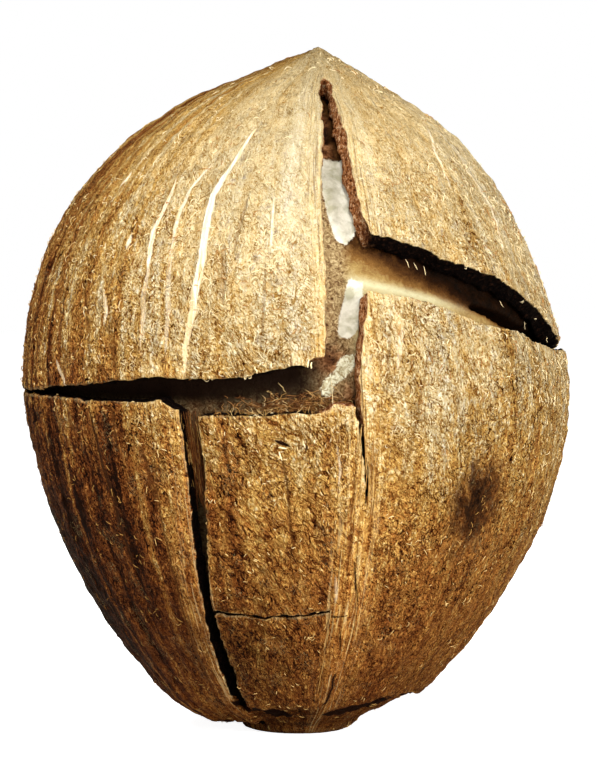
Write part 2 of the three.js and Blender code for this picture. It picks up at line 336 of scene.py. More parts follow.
def bake_modifiers(piece):
    bpy.context.view_layer.update()
    seen = piece.evaluated_get(bpy.context.evaluated_depsgraph_get())
    mesh = bpy.data.meshes.new_from_object(seen)
    piece.modifiers.clear()
    piece.data = mesh
    mesh.name = piece.name


def even_copy(node, name, cell):
    """A copy of a node's solid with an even, fine mesh, as a new piece."""
    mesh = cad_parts[node].data.copy()
    shape = bmesh.new()
    shape.from_mesh(mesh)
    bmesh.ops.remove_doubles(shape, verts=shape.verts, dist=0.001 * MM)
    shape.to_mesh(mesh)
    shape.free()
    piece = placed(name, mesh)
    even = piece.modifiers.new("even", "REMESH")
    even.mode = "VOXEL"
    even.voxel_size = cell * MM
    bake_modifiers(piece)
    piece.data.materials.clear()
    return piece


def thin_out(piece, hidden, keep):
    """Fewer faces where the mesh is hidden, and all of them elsewhere."""
    group = piece.vertex_groups.new(name="hidden")
    group.add([int(i) for i in np.flatnonzero(hidden)], 1.0, "REPLACE")
    thinner = piece.modifiers.new("thinner", "DECIMATE")
    thinner.vertex_group = "hidden"
    thinner.vertex_group_factor = 1000
    thinner.ratio = 1 - hidden.mean() * (1 - keep)
    bake_modifiers(piece)
    piece.vertex_groups.clear()


def distance_to(places, chosen, far):
    """How far each vertex is from the nearest chosen one, up to a limit."""
    points = places.at[chosen]
    tree = KDTree(len(points))
    for i, point in enumerate(points):
        tree.insert(point, i)
    tree.balance()
    near = np.full(len(places.at), far, float)
    for i in np.flatnonzero(places.depth < 1.0):
        near[i] = min(far, tree.find(places.at[i])[2])
    return near


# Places scraped down to the pale wood under the bark: a half width, how pale, and the
# turns and heights that the mark runs through.
SCRAPES = [
    (0.62, 1.0, [(-33.2, 112.6), (-32.6, 108), (-33.9, 102.5), (-33.0, 97), (-32.5, 94)]),
    (0.5, 0.75, [(-33.0, 97), (-32.5, 94), (-32.9, 89.6), (-32.2, 85.9), (-32.5, 80)]),
    (0.5, 0.8, [(-23.7, 115.5), (-27.1, 110.8), (-28.1, 105.2), (-27.4, 100.3), (-27.6, 97)]),
    (0.6, 0.5, [(-27.6, 100), (-27.0, 93), (-26.2, 87), (-26.6, 79)]),
    (0.85, 1.0, [(-14.4, 122.8), (-17.4, 114.9), (-19.9, 109.2), (-19.6, 103.2), (-19.2, 97.1),
                 (-19.7, 93.3), (-20.7, 86), (-22, 80.1), (-22.2, 75)]),
    (0.4, 0.7, [(-4.1, 108.8), (-3.8, 103.4), (-3.9, 98.8)]),
    (0.45, 0.7, [(60, 124.5), (50.6, 118.6), (48, 110.6)]),
    (0.5, 0.7, [(67.4, 121.2), (63.9, 114.1), (66.7, 108.9), (64.6, 103.5), (61.5, 97.7)]),
    (0.5, 0.6, [(22.7, 85.3), (21.4, 80.5), (20.2, 75.8)]),
    (0.5, 0.9, [(-52.7, 114), (-53.6, 111.2)]),
    (0.45, 0.9, [(-40.3, 101.9), (-40.2, 98.8)]),
    (0.55, 0.9, [(-44, 90.4), (-42.4, 86.8), (-42.6, 84)]),
    (0.5, 0.8, [(-59.5, 76.8), (-55.5, 71.5)]),
    (0.22, 0.7, [(7.6, 61.5), (8.2, 57), (8, 53.4)]),
    (0.3, 0.5, [(8.3, 35.8), (8.9, 33), (9, 30.4)]),
    (0.6, 0.8, [(118, 116), (121, 104), (119, 92), (122, 84)]),
    (0.5, 0.7, [(164, 108), (166, 97), (163, 88)]),
    (0.7, 0.9, [(-142, 118), (-139, 106), (-141, 95), (-138, 83)]),
    (0.4, 0.7, [(-100, 60), (-98, 50), (-101, 42)]),
]
# Fine splits in the bark, dark inside, in the same form.
SPLITS = [
    (0.2, 1.0, [(12, 39), (13.2, 34.5), (14.9, 30)]),
    (0.16, 1.0, [(11.1, 24.7), (12.1, 20.5)]),
    (0.26, 1.0, [(12.6, 15.6), (12.1, 14.3), (12.7, 12.1), (12, 8.8), (10.4, 7.5)]),
    (0.3, 0.65, [(-3.6, 59.6), (-3.0, 56.8), (-2.5, 53), (-2.2, 46), (-1.2, 39)]),
    (0.5, 0.5, [(-52.5, 93.8), (-48, 85), (-46, 74.2)]),
    (0.6, 0.45, [(-42, 88.8), (-40, 81.2), (-39, 74.5)]),
    (0.6, 0.35, [(-14.5, 99.8), (-14, 93.8), (-14, 88.2)]),
    (0.4, 0.35, [(-10.5, 108.2), (-11.5, 102.8), (-12, 98.2)]),
    (0.3, 0.35, [(-5, 96.2), (-5.5, 87.2), (-6.5, 77.8)]),
    (0.5, 0.45, [(-61, 88.8), (-57.5, 80.8), (-55.5, 74)]),
    (0.55, 0.8, [(-47.5, 68.5), (-46.5, 62.5), (-46, 57), (-44.5, 48.8), (-44, 40.5), (-43.5, 34.8)]),
    (0.4, 0.6, [(-41, 68.5), (-40.5, 65.8), (-40.5, 61.8)]),
    (0.6, 0.6, [(-56, 69), (-55, 65.5), (-54, 61.2)]),
    (0.5, 0.6, [(-34, 61), (-33, 54.2), (-32, 48)]),
    (0.3, 0.3, [(20.5, 87.2), (18.5, 77.8), (17.5, 70.2)]),
    (0.35, 0.3, [(28.5, 83.2), (24.5, 70), (21.5, 56.8), (20.5, 46.8)]),
    # The three marks along the foot are painted shadow under the collar's overhang, not splits.
    (2.4, 0.95, [(-28, 8.2), (-20, 6.2), (-12, 5.1), (-3, 4.8)]),
    (0.5, 0.75, [(-8, 5.3), (4, 5), (14, 5.1)]),
    (2.4, 0.9, [(15, 4.8), (27, 5.2), (42, 6.2), (62, 7.6)]),
    (0.42, 1.0, [(-4.6, 62.5), (-3.2, 62), (-1.7, 61.2)]),
    (0.35, 0.8, [(1.6, 61.8), (1.4, 60.4)]),
    (0.22, 0.9, [(13.5, 49.9), (13.9, 54)]),
    (0.28, 0.65, [(-31, 64), (-31.6, 52), (-31.4, 40), (-31.8, 27), (-33, 14), (-34, 8)]),
    (0.2, 0.9, [(8, 27.6), (10, 27.5), (12.5, 27.8)]),
    (0.2, 0.9, [(133, 74), (134, 60), (132.5, 44), (134, 30)]),
    (0.2, 0.9, [(-107, 68), (-106, 52), (-108, 38)]),
]
MARK_REACH = 2.2


def mark_field(places, marks):
    """For each vertex, the nearest mark's signed distance, half width and strength."""
    across = np.full(len(places.turn), 9.0)
    width = np.zeros(len(places.turn))
    strength = np.zeros(len(places.turn))
    for half_width, how_strong, points in marks:
        turns = np.array([point[0] for point in points], float)
        runs = run_at(np.array([point[1] for point in points], float))
        for i in range(len(points) - 1):
            away = np.radians(turn_between(places.turn, turns[i])) * places.radius
            up = places.run - runs[i]
            go = np.radians(turns[i + 1] - turns[i]) * places.radius
            rise = runs[i + 1] - runs[i]
            t = np.clip((away * go + up * rise) / (go**2 + rise**2), 0, 1)
            apart = np.hypot(away - t * go, up - t * rise)
            share = (i + t) / (len(points) - 1)
            swell = half_width * np.sqrt(np.sin(np.pi * share).clip(0, 1))
            nearer = apart - swell < np.abs(across) - width
            side = np.where(away * rise - up * go < 0, -1, 1)
            across = np.where(nearer, side * apart, across)
            width = np.where(nearer, swell, width)
            strength = np.where(nearer, np.where(apart < MARK_REACH, how_strong, 0), strength)
    return np.stack([across, width, strength], axis=1)


TONE_HEIGHTS = [0, 12, 23, 35, 47, 60, 78, 90, 104, 118, 132]
TONE_IN_FRONT = [0.47, 0.48, 0.53, 0.57, 0.66, 0.75, 0.94, 0.97, 0.99, 1.0, 0.95]
LEFT_STAIN = [0.1, 0.3, 0.62, 0.76, 0.84, 0.78, 0.6, 0.5, 0.42, 0.34, 0.3]
STAIN_MIDDLE = -95
STAIN_SPREAD = 55
CONTRAST_TONES = [0.2, 0.4, 0.6, 0.8, 0.95, 1.1]
CONTRAST = [1.6, 1.55, 1.35, 1.1, 0.8, 0.48]
# Places where the bark is paler or darker, rougher or calmer than that, or made brighter or dimmer
# as painted light and shade: how much, the turn and height of the middle, and the spread in both.
TONE_PATCHES = [
    (0.11, (27, 62), (11, 12)), (0.09, (-7, 46), (16, 20)), (0.07, (-6, 108), (18, 34)),
    # The narrow paler strip at turn -28 is painted highlight along the raised strip's lit edge.
    (0.05, (11, 44), (5, 24)), (0.12, (-28, 40), (3.5, 30)), (-0.04, (45, 100), (24, 26)),
]
CALM_PATCHES = [(0.35, (-85, 28), (45, 30)), (0.28, (-4, 44), (18, 24)), (0.3, (-6, 102), (22, 24))]
PAINTED_LIGHT_PATCHES = [
    (-0.14, (-6, 100), (22, 28)), (0.1, (-48, 112), (22, 24)), (0.08, (-4, 44), (18, 20)),
    (-0.15, (62, 78), (14, 11)), (-0.12, (-38, 58), (8, 14)), (-0.4, (-90, 36), (42, 26)),
    (-0.22, (-8, 14), (30, 12)), (-0.26, (-17, 19), (13, 13)), (-0.12, (-4, 36), (14, 8)),
    (-0.2, (-30, 22), (14, 8)), (-0.14, (-78, 84), (14, 12)), (-0.08, (-8, 122), (16, 12)),
]
LUMPY_PATCH = [(1.0, (-6, 42), (17, 34))]
BURN_PATCH = [(1.0, (41.4, 49), (6.8, 9))]


def lumpiness(places):
    """How far the bark has risen in lumps, most of all on the chips."""
    return 0.25 + patches(places.turn, places.height, LUMPY_PATCH)


def shell_tone(places):
    """Paler towards the tip and the front right, darker towards the eyes, the left and the foot."""
    turn, height = places.turn, places.height
    uneven = height + 4 * grain_noise(places.at / 14, 3)
    tone = np.interp(uneven, TONE_HEIGHTS, TONE_IN_FRONT) + patches(turn, height, TONE_PATCHES)
    stain = np.interp(uneven, TONE_HEIGHTS, LEFT_STAIN)
    stain *= np.exp(-((turn_between(turn, STAIN_MIDDLE) / STAIN_SPREAD) ** 2))
    tone += (0.08 + 0.35 * stain) * grain_noise(places.fibre_place(3.2, 70), 8) - stain
    # Painted shade: the recessed foot under the collar's overhang is darker.
    tone -= 0.08 * ((height < FOOT_TOP) & (places.depth > 0.25))
    return np.clip(tone, 0.05, 1.15)


def shell_contrast(places, tone):
    """How strongly the patterns of the bark show: less where it is pale or scraped smooth."""
    turn, height = places.turn, places.height
    contrast = np.interp(tone, CONTRAST_TONES, CONTRAST)
    contrast *= 0.76 + 0.4 * np.exp(-(((height - 72) / 34) ** 2))
    contrast *= 1 - 0.3 * smoothstep(105, 122, height)
    for row in CALM_PATCHES:
        contrast *= 1 - patches(turn, height, [row])
    return contrast * (1 + 0.2 * grain_noise(places.at / 11, 6))


def paint_bark(places, skin, lip, seam):
    """Keeps on the mesh what the bark's colours follow."""
    turn, height = places.turn, places.height
    tone = shell_tone(places)
    # Painted light and shade: the colour is made brighter or dimmer in patches, and dimmer towards
    # the top.
    painted_light_and_shade = 1 + patches(turn, height, PAINTED_LIGHT_PATCHES) - 0.07 * smoothstep(95, 115, height)
    striped = 0.3 + 0.8 * np.exp(-((turn_between(turn, -82) / 48) ** 2))
    # Where the broken faces show torn wood; elsewhere they are painted as shadow.
    in_slit = smoothstep(19.5, 16.5, turn) * smoothstep(2, 7, turn) * smoothstep(62, 66, height)
    places.keep("fibre", places.fibre_place(1, 1) * MM)
    places.keep("below", places.depth * (1 - skin))
    places.keep("lip", lip)
    places.keep("seam", seam)
    places.keep("scrape", mark_field(places, SCRAPES))
    places.keep("split", mark_field(places, SPLITS))
    places.keep("tone", tone)
    places.keep("contrast", shell_contrast(places, tone))
    places.keep("painted_light_and_shade", painted_light_and_shade)
    places.keep("lumpy", lumpiness(places))
    places.keep("striped", striped)
    places.keep("burn", patches(turn, height, BURN_PATCH))
    places.keep("open", in_slit)


def lean(places):
    """Sideways, how far the upper end of the tall crack runs to the right, in mm."""
    near = smoothstep(112, 130, places.height) * smoothstep(139, 135, places.height)
    return TIP_LEAN * near * np.exp(-((turn_between(places.turn, 12) / 38) ** 2))


def dress_shell(node, name, material, sprung):
    """A shell piece with rough bark, ragged edges and the fields that its colours follow."""
    piece = even_copy(node, name, EVEN_MESH)
    places = Places(piece.data, sprung)
    inside = (places.depth > 0.8 * SHELL_WALL) & (places.height > 6)
    thin_out(piece, inside, HIDDEN_SHARE)
    places = Places(piece.data, sprung)
    turn, height, depth = places.turn, places.height, places.depth
    foot = (height < FOOT_TOP) & (depth < 2.0)
    skin = np.where(foot, 1.0, smoothstep(0.9, 0.45, depth))
    face = (depth > 0.9) & (depth < 0.7 * SHELL_WALL) & ~foot
    lip = distance_to(places, face, 8.0)
    clear = smoothstep(0.4, 3.0, height)
    seam = np.exp(-((from_seam(turn) / 4.5) ** 2)) * smoothstep(92, 84, height)
    upright = (np.abs(turn - 12) < 13) & (height > 60)
    upright |= (np.abs(turn - 12) < 5) | ((turn > -33) & (turn < -22))
    seam = np.maximum(seam, upright * np.exp(-((lip / 3.2) ** 2)))

    grooves = 0.2 * grain_noise(places.fibre_place(3.4, 60), 1)
    ridges = 0.12 * grain_noise(places.fibre_place(1.3, 14), 2)
    lumps = (0.22 + 0.5 * lumpiness(places)) * grain_noise(places.at / 2.3, 4)
    hills = 0.2 * grain_noise(places.at / 9, 5)
    relief = grooves + ridges + lumps * (1 - 0.8 * seam) + hills
    relief -= 0.32 + 0.2 * np.exp(-lip / 0.5)
    flush = np.where(foot, 0.0, depth)
    shift = places.outwards * (skin * (flush + relief * clear))[:, None]
    for axis in range(3):
        wander = 0.5 * grain_noise(places.at / 3.1, 11 + axis)
        wander += 0.36 * grain_noise(places.at / 1.3, 21 + axis)
        shift[:, axis] += wander * clear * np.exp(-lip / 0.5 * skin)
    paint_bark(places, skin, lip, seam)
    shift[:, 0] += lean(places)
    places.move(shift)
    piece.data.materials.append(material)
    piece.data.shade_smooth()
    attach(piece, "root")
    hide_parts(node)
    return piece


class Shade:
    """A value or a colour in a material. Arithmetic on it adds the nodes that work it out."""

    def __init__(self, socket):
        self.socket = socket
        self.tree = socket.id_data

    def maths(self, operation, *others):
        return made(self.tree, "Math", dict(enumerate((self, *others))), operation=operation)

    def __add__(self, other):
        return self.maths("ADD", other)

    def __sub__(self, other):
        return self.maths("SUBTRACT", other)

    def __mul__(self, other):
        return self.maths("MULTIPLY", other)

    def between(self, absent, full):
        """0 where this has one value, rising smoothly to 1 where it has the other."""
        inputs = {"Value": self, "From Min": absent, "From Max": full}
        return made(self.tree, "MapRange", inputs, interpolation_type="SMOOTHSTEP")

    def ramp(self, stops):
        """Colours that follow this value: each stop is a value and a colour."""
        node = add_node(self.tree, "ValToRGB", {"Fac": self})
        elements = node.color_ramp.elements
        while len(elements) < len(stops):
            elements.new(0.5)
        for element, (place, colour) in zip(elements, stops):
            element.position = place
            element.color = (*colour, 1)
        return Shade(node.outputs["Color"])

    def under(self, over, share):
        """This colour with a share of another laid over it."""
        over = over if isinstance(over, Shade) else (*over, 1)
        return made(self.tree, "Mix", {0: share, 6: self, 7: over}, 2, data_type="RGBA")


def made(tree, kind, inputs=(), output=0, **settings):
    """What a new node gives out, as a shade."""
    return Shade(add_node(tree, kind, inputs, **settings).outputs[output])


def field(tree, name, output="Fac"):
    """What the mesh keeps under a name."""
    kind = {"attribute_name": name, "attribute_type": "GEOMETRY"}
    return made(tree, "Attribute", output=output, **kind)


def blend(marks, shares):
    """The sum of the named patterns, each in its share."""
    result = 0.0
    for name, share in shares.items():
        result = marks[name].maths("MULTIPLY_ADD", share, result)
    return result


def pattern(space, cells, detail=3.0, rough=0.55, twist=0.0):
    """Noise, from 0 to 1, with cells of the given size in millimetres along each axis."""
    scale = tuple(1 / (cell * MM) for cell in cells)
    cells = made(space.tree, "Mapping", {"Vector": space, "Scale": scale})
    inputs = {"Vector": cells, "Scale": 1.0, "Detail": detail, "Roughness": rough}
    return made(space.tree, "TexNoise", {**inputs, "Distortion": twist})


def hairlines(space, cells, twist, thickness, broken):
    """Fine curling lines, 1 on the line, where noise crosses its middle value."""
    off = (pattern(space, cells, 1.5, 0.5, twist) - 0.5).maths("ABSOLUTE")
    gaps = pattern(space, tuple(2.2 * cell for cell in cells), 1.0, 0.5)
    return off.between(thickness, thickness * 0.35) * gaps.between(broken, broken + 0.06)


def creased(space, cells, twist):
    """Rounded lumps with sharp creases between them, from about -0.08 to 0.2."""
    return (pattern(space, cells, 2.0, 0.5, twist) - 0.5).maths("ABSOLUTE") - 0.075


def near_mark(tree, name, frayed, absent, full):
    """How strongly a mark shows, with its edge frayed by a pattern."""
    mark = add_node(tree, "SeparateXYZ", {0: field(tree, name, "Vector")})
    across, half_width, strength = (Shade(output) for output in mark.outputs)
    edge = frayed + (across.maths("ABSOLUTE") - half_width)
    return edge.between(absent, full) * strength


def rough_surface(colour, roughness, shine, height, strength, depth):
    """Ends a material with a surface whose relief is a height times a depth in mm."""
    relief = {"Height": height, "Strength": strength, "Distance": depth * MM}
    look = {"Base Color": colour, "Roughness": roughness, "Specular IOR Level": shine}
    look["Normal"] = made(colour.tree, "Bump", relief)
    finish = made(colour.tree, "BsdfPrincipled", look)
    add_node(colour.tree, "OutputMaterial", {"Surface": finish})


# The patterns of the bark. Each is laid in a space: that of the fibres, the same gone astray
# a little, the same leaning over, or plain room. Then come the size of its cells in mm, and
# for noise its detail, roughness and twist.
BARK_NOISE = {
    "bands": ("astray", (3.2, 3.2, 60), 2, 0.5, 0.3),
    "grooves": ("fibre", (2.2, 2.2, 55), 2, 0.5, 0.2),
    "strands": ("fibre", (0.6, 0.6, 16), 3, 0.6, 0.4),
    "blotches": ("astray", (2.4, 2.4, 4.0), 4, 0.6, 0.4),
    "lumps": ("astray", (1.1, 1.1, 1.4), 4, 0.64, 0.3),
    "folds": ("leaning", (1.0, 1.0, 3.0), 3, 0.6, 0.6),
    "grain": ("room", (0.38, 0.38, 0.4), 2, 0.7, 0.2),
    "flecks": ("astray", (0.38, 0.38, 0.5), 1, 0.5, 0.6),
    "strokes": ("astray", (0.32, 0.32, 1.5), 1, 0.5, 0.5),
    "ticks": ("leaning", (0.3, 0.3, 1.1), 1, 0.5, 0.5),
    "crumbs": ("room", (0.75, 0.75, 0.75), 4, 0.7, 0.5),
}
# For creases, the twist alone. For hairlines, the twist, the thickness and how broken up.
BARK_CREASES = {
    "leather": ("leaning", (1.7, 1.7, 2.8), 0.7),
    "crumble": ("astray", (1.0, 1.0, 1.5), 0.5),
}
BARK_LINES = {
    "crevices": ("leaning", (1.2, 1.2, 2.6), 1.2, 0.028, 0.48),
    "wrinkles": ("leaning", (1.5, 1.5, 4.0), 1.0, 0.04, 0.42),
    "pale_hairs": ("room", (1.7, 1.7, 2.6), 3.5, 0.02, 0.56),
    "dark_hairs": ("room", (1.1, 1.1, 1.6), 2.0, 0.02, 0.56),
    "long_cracks": ("room", (2.6, 2.6, 5.0), 1.4, 0.013, 0.48),
}
# Spots cut out of the noise: which, and its values where the spot is absent and full.
# The bright flecks are painted glints on the bark.
BARK_SPOTS = {
    "bright": ("flecks", 0.58, 0.66), "pits": ("flecks", 0.41, 0.35),
    "pale_strokes": ("strokes", 0.6, 0.68), "ticks": ("ticks", 0.38, 0.32),
}
# How much of each pattern goes into the relief, the broad shading and the fine shading.
RELIEF_SHARES = {
    "lumps": 0.4, "folds": 1.2, "grain": 0.15, "pale_hairs": 0.04, "leather": 2.6, "crumble": 0.9,
    "bright": 0.04, "pits": -0.05, "dark_hairs": -0.07, "crevices": -0.22, "wrinkles": -0.3,
    "pale_strokes": 0.05, "ticks": -0.05, "long_cracks": -0.16,
}
BROAD_SHARES = {"blotches": 0.55, "bands": 1.6, "grooves": 1.1, "strands": 0.1}
# Fine shading: painted shade in creases, crevices and pits and painted glints on lumps, over real
# grain.
FINE_SHARES = {
    "lumps": 0.9, "grain": 1.0, "folds": 0.8, "strands": 0.3, "leather": 2.4, "crumble": 2.4,
    "bright": 0.06, "pits": -0.75, "crevices": -0.8, "pale_strokes": 0.15, "ticks": -0.5,
    "wrinkles": -0.9, "dark_hairs": -1.1, "long_cracks": -1.3,
}
BURN_SHARES = {"burn": 1.2, "lumps": 1.4, "blotches": 1.6, "grain": 0.6}
BROAD_MIDDLE = 0.325
FINE_MIDDLE = 1.03
RELIEF_DEPTH = 4.0
ASTRAY = 4.0
CREASE_LEAN = math.radians(42)
# Fine shading in stops, more of it in blue than in red, so that shadows are warmer.
STOP_SHARES = (0.86, 1.0, 1.22)

BARK_COLOURS = [
    (0.0, (0.02, 0.005, 0.001)), (0.16, (0.11, 0.029, 0.007)), (0.32, (0.27, 0.086, 0.019)),
    (0.48, (0.47, 0.205, 0.045)), (0.64, (0.65, 0.4, 0.108)), (0.8, (0.775, 0.64, 0.37)),
    (1.0, (0.86, 0.81, 0.68)),
]
PALE_WOOD = [(0.42, (0.72, 0.55, 0.32)), (0.55, (0.89, 0.8, 0.62))]
# Torn wood for the tall slit: its own reddish brown, partly paled as painted light.
TORN_WOOD = [
    (0.36, (0.04, 0.01, 0.003)), (0.45, (0.22, 0.065, 0.02)),
    (0.55, (0.5, 0.21, 0.075)), (0.66, (0.85, 0.62, 0.38)),
]
# The other broken faces are painted near black as their shadow.
BROKEN_FACE_SHADOW = [
    (0.45, (0.002, 0.001, 0.001)), (0.57, (0.006, 0.003, 0.002)),
    (0.66, (0.025, 0.01, 0.006)), (0.78, (0.1, 0.05, 0.03)),
]
# Tints by a pattern: its values where the tint is absent and full, how much, the colour.
BURNT_TINTS = [(1.85, 2.6, 0.9, (0.15, 0.05, 0.014)), (2.3, 3.05, 0.9, (0.018, 0.008, 0.004))]
STRAND_TINTS = [(0.44, 0.34, 0.75, (0.12, 0.035, 0.008)), (0.54, 0.64, 0.55, (0.85, 0.65, 0.32))]
PALE_HAIR = (0.84, 0.64, 0.3)
SPLIT_EDGE, SPLIT_DARK = (0.17, 0.06, 0.014), (0.02, 0.007, 0.004)
PALE_RIM_AND_HIGHLIGHT = (0.8, 0.6, 0.3)


def bark_patterns(tree):
    """All the patterns of the bark by name, ready to be blended."""
    fibre = field(tree, "fibre", "Vector")
    room = made(tree, "TexCoord", output="Object")
    drift = made(tree, "TexNoise", {"Vector": room, "Scale": 70, "Detail": 1.0}, 1)
    drift = made(tree, "VectorMath", {0: drift, "Scale": ASTRAY * MM}, operation="SCALE")
    astray = made(tree, "VectorMath", {0: fibre, 1: drift}, operation="ADD")
    leaning = made(tree, "Mapping", {"Vector": astray, "Rotation": (0, CREASE_LEAN, 0)})
    spaces = {"fibre": fibre, "room": room, "astray": astray, "leaning": leaning}

    marks = {name: field(tree, name) for name in ("below", "lip", "seam", "burn")}
    for make, table in ((pattern, BARK_NOISE), (creased, BARK_CREASES), (hairlines, BARK_LINES)):
        for name, (space, *sizes) in table.items():
            marks[name] = make(spaces[space], *sizes)
    for name, (source, absent, full) in BARK_SPOTS.items():
        marks[name] = marks[source].between(absent, full)
    for name in ("bands", "grooves", "folds"):
        marks[name] = marks[name] - 0.5
    marks["plain"] = marks["seam"] * -0.8 + 1.0
    striped, lumpy = field(tree, "striped"), field(tree, "lumpy")
    for strength, names in (
        (striped, ("bands", "grooves")),
        (lumpy, ("folds", "wrinkles", "leather")),
        (marks["plain"], ("crevices", "long_cracks")),
    ):
        for name in names:
            marks[name] = marks[name] * strength
    return marks


def bark_colour(tree, marks, contrast):
    """The weathered outside: shaded by the patterns, burnt in one place, streaked at seams."""
    fine = blend(marks, FINE_SHARES) - FINE_MIDDLE
    broad = blend(marks, BROAD_SHARES) - BROAD_MIDDLE
    tone = (broad * 0.7 + fine * 0.32) * contrast + field(tree, "tone")
    bark = (tone * 0.8).ramp(BARK_COLOURS)
    ragged = blend(marks, BURN_SHARES)
    for absent, full, share, over in BURNT_TINTS:
        bark = bark.under(over, ragged.between(absent, full) * share)
    # Painted shade and glints of the relief, in stops, over the bark's own grain.
    stops = fine * contrast
    powers = [{0: 2.0, 1: stops * share} for share in STOP_SHARES]
    lit = [made(tree, "Math", power, operation="POWER") for power in powers]
    lit = made(tree, "CombineXYZ", dict(enumerate(lit)))
    # The shaded colour is scaled by the painted light and shade kept on the mesh.
    lit = made(tree, "VectorMath", {0: lit, "Scale": field(tree, "painted_light_and_shade")}, operation="SCALE")
    bark = made(tree, "VectorMath", {0: bark, 1: lit}, operation="MULTIPLY")
    bark = bark.under(PALE_HAIR, marks["pale_hairs"] * 0.35)
    for absent, full, share, over in STRAND_TINTS:
        streaks = marks["strands"].between(absent, full) * marks["seam"]
        bark = bark.under(over, streaks * share)
    return bark


def shell_material():
    """Bark with its scrapes and splits, and torn wood or painted shadow where the shell is broken."""
    material, tree = new_material("scraped_shell")
    marks = bark_patterns(tree)
    strands, grain, crumbs = marks["strands"], marks["grain"], marks["crumbs"]
    contrast = field(tree, "contrast")
    bark = bark_colour(tree, marks, contrast)
    scraped = near_mark(tree, "scrape", strands * 0.6 + grain * 0.5, 0.72, 0.38)
    bark = bark.under(strands.ramp(PALE_WOOD), scraped)
    split = near_mark(tree, "split", grain * 0.5, 0.38, 0.08)
    bark = bark.under(SPLIT_EDGE, split).under(SPLIT_DARK, split.between(0.5, 0.95))
    # A pale rim along the broken edges: paler wood, partly painted highlight where the edge meets the
    # light.
    rim = (marks["lip"] + grain).between(1.6, 1.0)
    bark = bark.under(PALE_RIM_AND_HIGHLIGHT, rim * 0.4)
    # Broken faces: painted shadow, but torn wood in the tall slit.
    torn = crumbs.ramp(BROKEN_FACE_SHADOW).under(crumbs.ramp(TORN_WOOD), field(tree, "open"))
    broken = (marks["below"] + crumbs * 0.9).between(0.75, 1.25)

    height = blend(marks, RELIEF_SHARES) * marks["plain"] * contrast.maths("MINIMUM", 1.3)
    height = height + strands * 0.06 + strands * marks["seam"] * 0.6
    height = height * (scraped * -0.85 + 1.0) + split * -0.5 + scraped * 0.3
    height = height + marks["bands"] * 0.4 + marks["grooves"] * 0.5
    height = made(tree, "Mix", {0: broken, 2: height, 3: crumbs * 0.6})
    rough_surface(bark.under(torn, broken), grain * -0.4 + 0.8, 0.02, height, 1.0, RELIEF_DEPTH)
    return material


scraped_shell = shell_material()
upper = dress_shell("shell_upper", "upper_shell_bark", scraped_shell, 0.0)
lower = dress_shell("shell_lower", "lower_shell_bark", scraped_shell, 1.0)
chip_high = dress_shell("shell_chip_upper", "upper_chip_bark", scraped_shell, 1.0)
chip_low = dress_shell("shell_chip_lower", "lower_chip_bark", scraped_shell, 1.0)


# ---- The kernel -----------------------------------------------------------------
# White meat in its thin brown skin, drawn back from the shell as it dried. The skin is
# torn off where the cracks show pale meat. It is moulded by the nut and fixed to nothing.
KERNEL_DEPTH = 4.8
KERNEL_MESH = 0.8
KERNEL_RELIEF = 0.6
HIDDEN_KERNEL_SHARE = 0.12
# Where the cracks show the kernel: the middle turn, how far aside, and from and to a height.
SHOWN_KERNEL = [(0, 95, 58, 106), (12, 14, 90, 141), (-23, 9, 2, 141)]

# Where the skin is gone: the turns and heights round the edge of each bare place.
BARE_MEAT = [
    [(9.6, 116.4), (18.6, 116.4), (18.4, 108.3), (18.3, 103.4), (17, 101.1), (14.5, 99.6),
     (12, 100.6), (10.9, 104), (9.7, 109.3)],
    [(14, 93.2), (17.6, 92.6), (16.6, 88.1), (14.8, 83.4), (12.4, 81.6), (10, 82.2), (10.5, 85.2),
     (12.9, 90.9)],
]
GREEN_MEAT = [
    [(13.8, 78.7), (11.4, 78.7), (9.7, 77.6), (8.9, 75.7), (6.6, 74.2), (5.3, 72.3), (5.6, 71),
     (7.3, 70), (8.4, 72.9), (10.2, 73.8), (12.1, 75.3), (13.6, 76.6)],
]
# The lower and upper edge of what the right crack shows: turn, height.
CRACK_FLOOR = [(14, 92.3), (26.5, 90.1), (36.9, 87.9), (48.7, 85.2), (55.7, 83.2), (90, 77)]
CRACK_ROOF = [(14, 101), (24.5, 97.2), (36.7, 94.7), (48.9, 91.7), (59.9, 88.6), (90, 80)]
# How much, the turn and height of the middle, and the spread in both.
RUSTY_PATCHES = [(0.9, (3, 68.5), (12, 3)), (1.0, (7.5, 77.5), (5, 3.6))]
RUSTY_CORNER = [(0.8, (13, 70), (3, 5))]
RUSTY_GAP = [(0.6, (-22, 66), (9, 7))]
BROWN_STRETCH = [(0.7, (2, 67.5), (12, 2.8))]
DARK_PITS = [(1.0, (11, 127.6), (4.2, 1.2)), (1.0, (11.5, 121.6), (4.2, 1.4))]


def inside_patch(places, outlines):
    """How far each vertex is inside the nearest patch, negative outside, in mm."""
    best = np.full(len(places.turn), -9.0)
    for corners in outlines:
        turns = np.array([corner[0] for corner in corners], float)
        heights = np.array([corner[1] for corner in corners], float)
        wide = np.radians(1) * places.radius
        inside = np.zeros(len(best), bool)
        nearest = np.full(len(best), 9.0)
        for i in range(len(corners)):
            j = (i + 1) % len(corners)
            x0 = (turns[i] - places.turn) * wide
            x1 = (turns[j] - places.turn) * wide
            y0 = heights[i] - places.height
            y1 = heights[j] - places.height
            if heights[i] != heights[j]:
                crossing = x0 + (x1 - x0) * (-y0) / (y1 - y0)
                inside ^= ((y0 > 0) != (y1 > 0)) & (crossing > 0)
            length = (x1 - x0) ** 2 + (y1 - y0) ** 2
            t = np.clip(-(x0 * (x1 - x0) + y0 * (y1 - y0)) / length, 0, 1)
            nearest = np.minimum(nearest, np.hypot(x0 + t * (x1 - x0), y0 + t * (y1 - y0)))
        best = np.maximum(best, np.where(inside, nearest, -nearest))
    return best


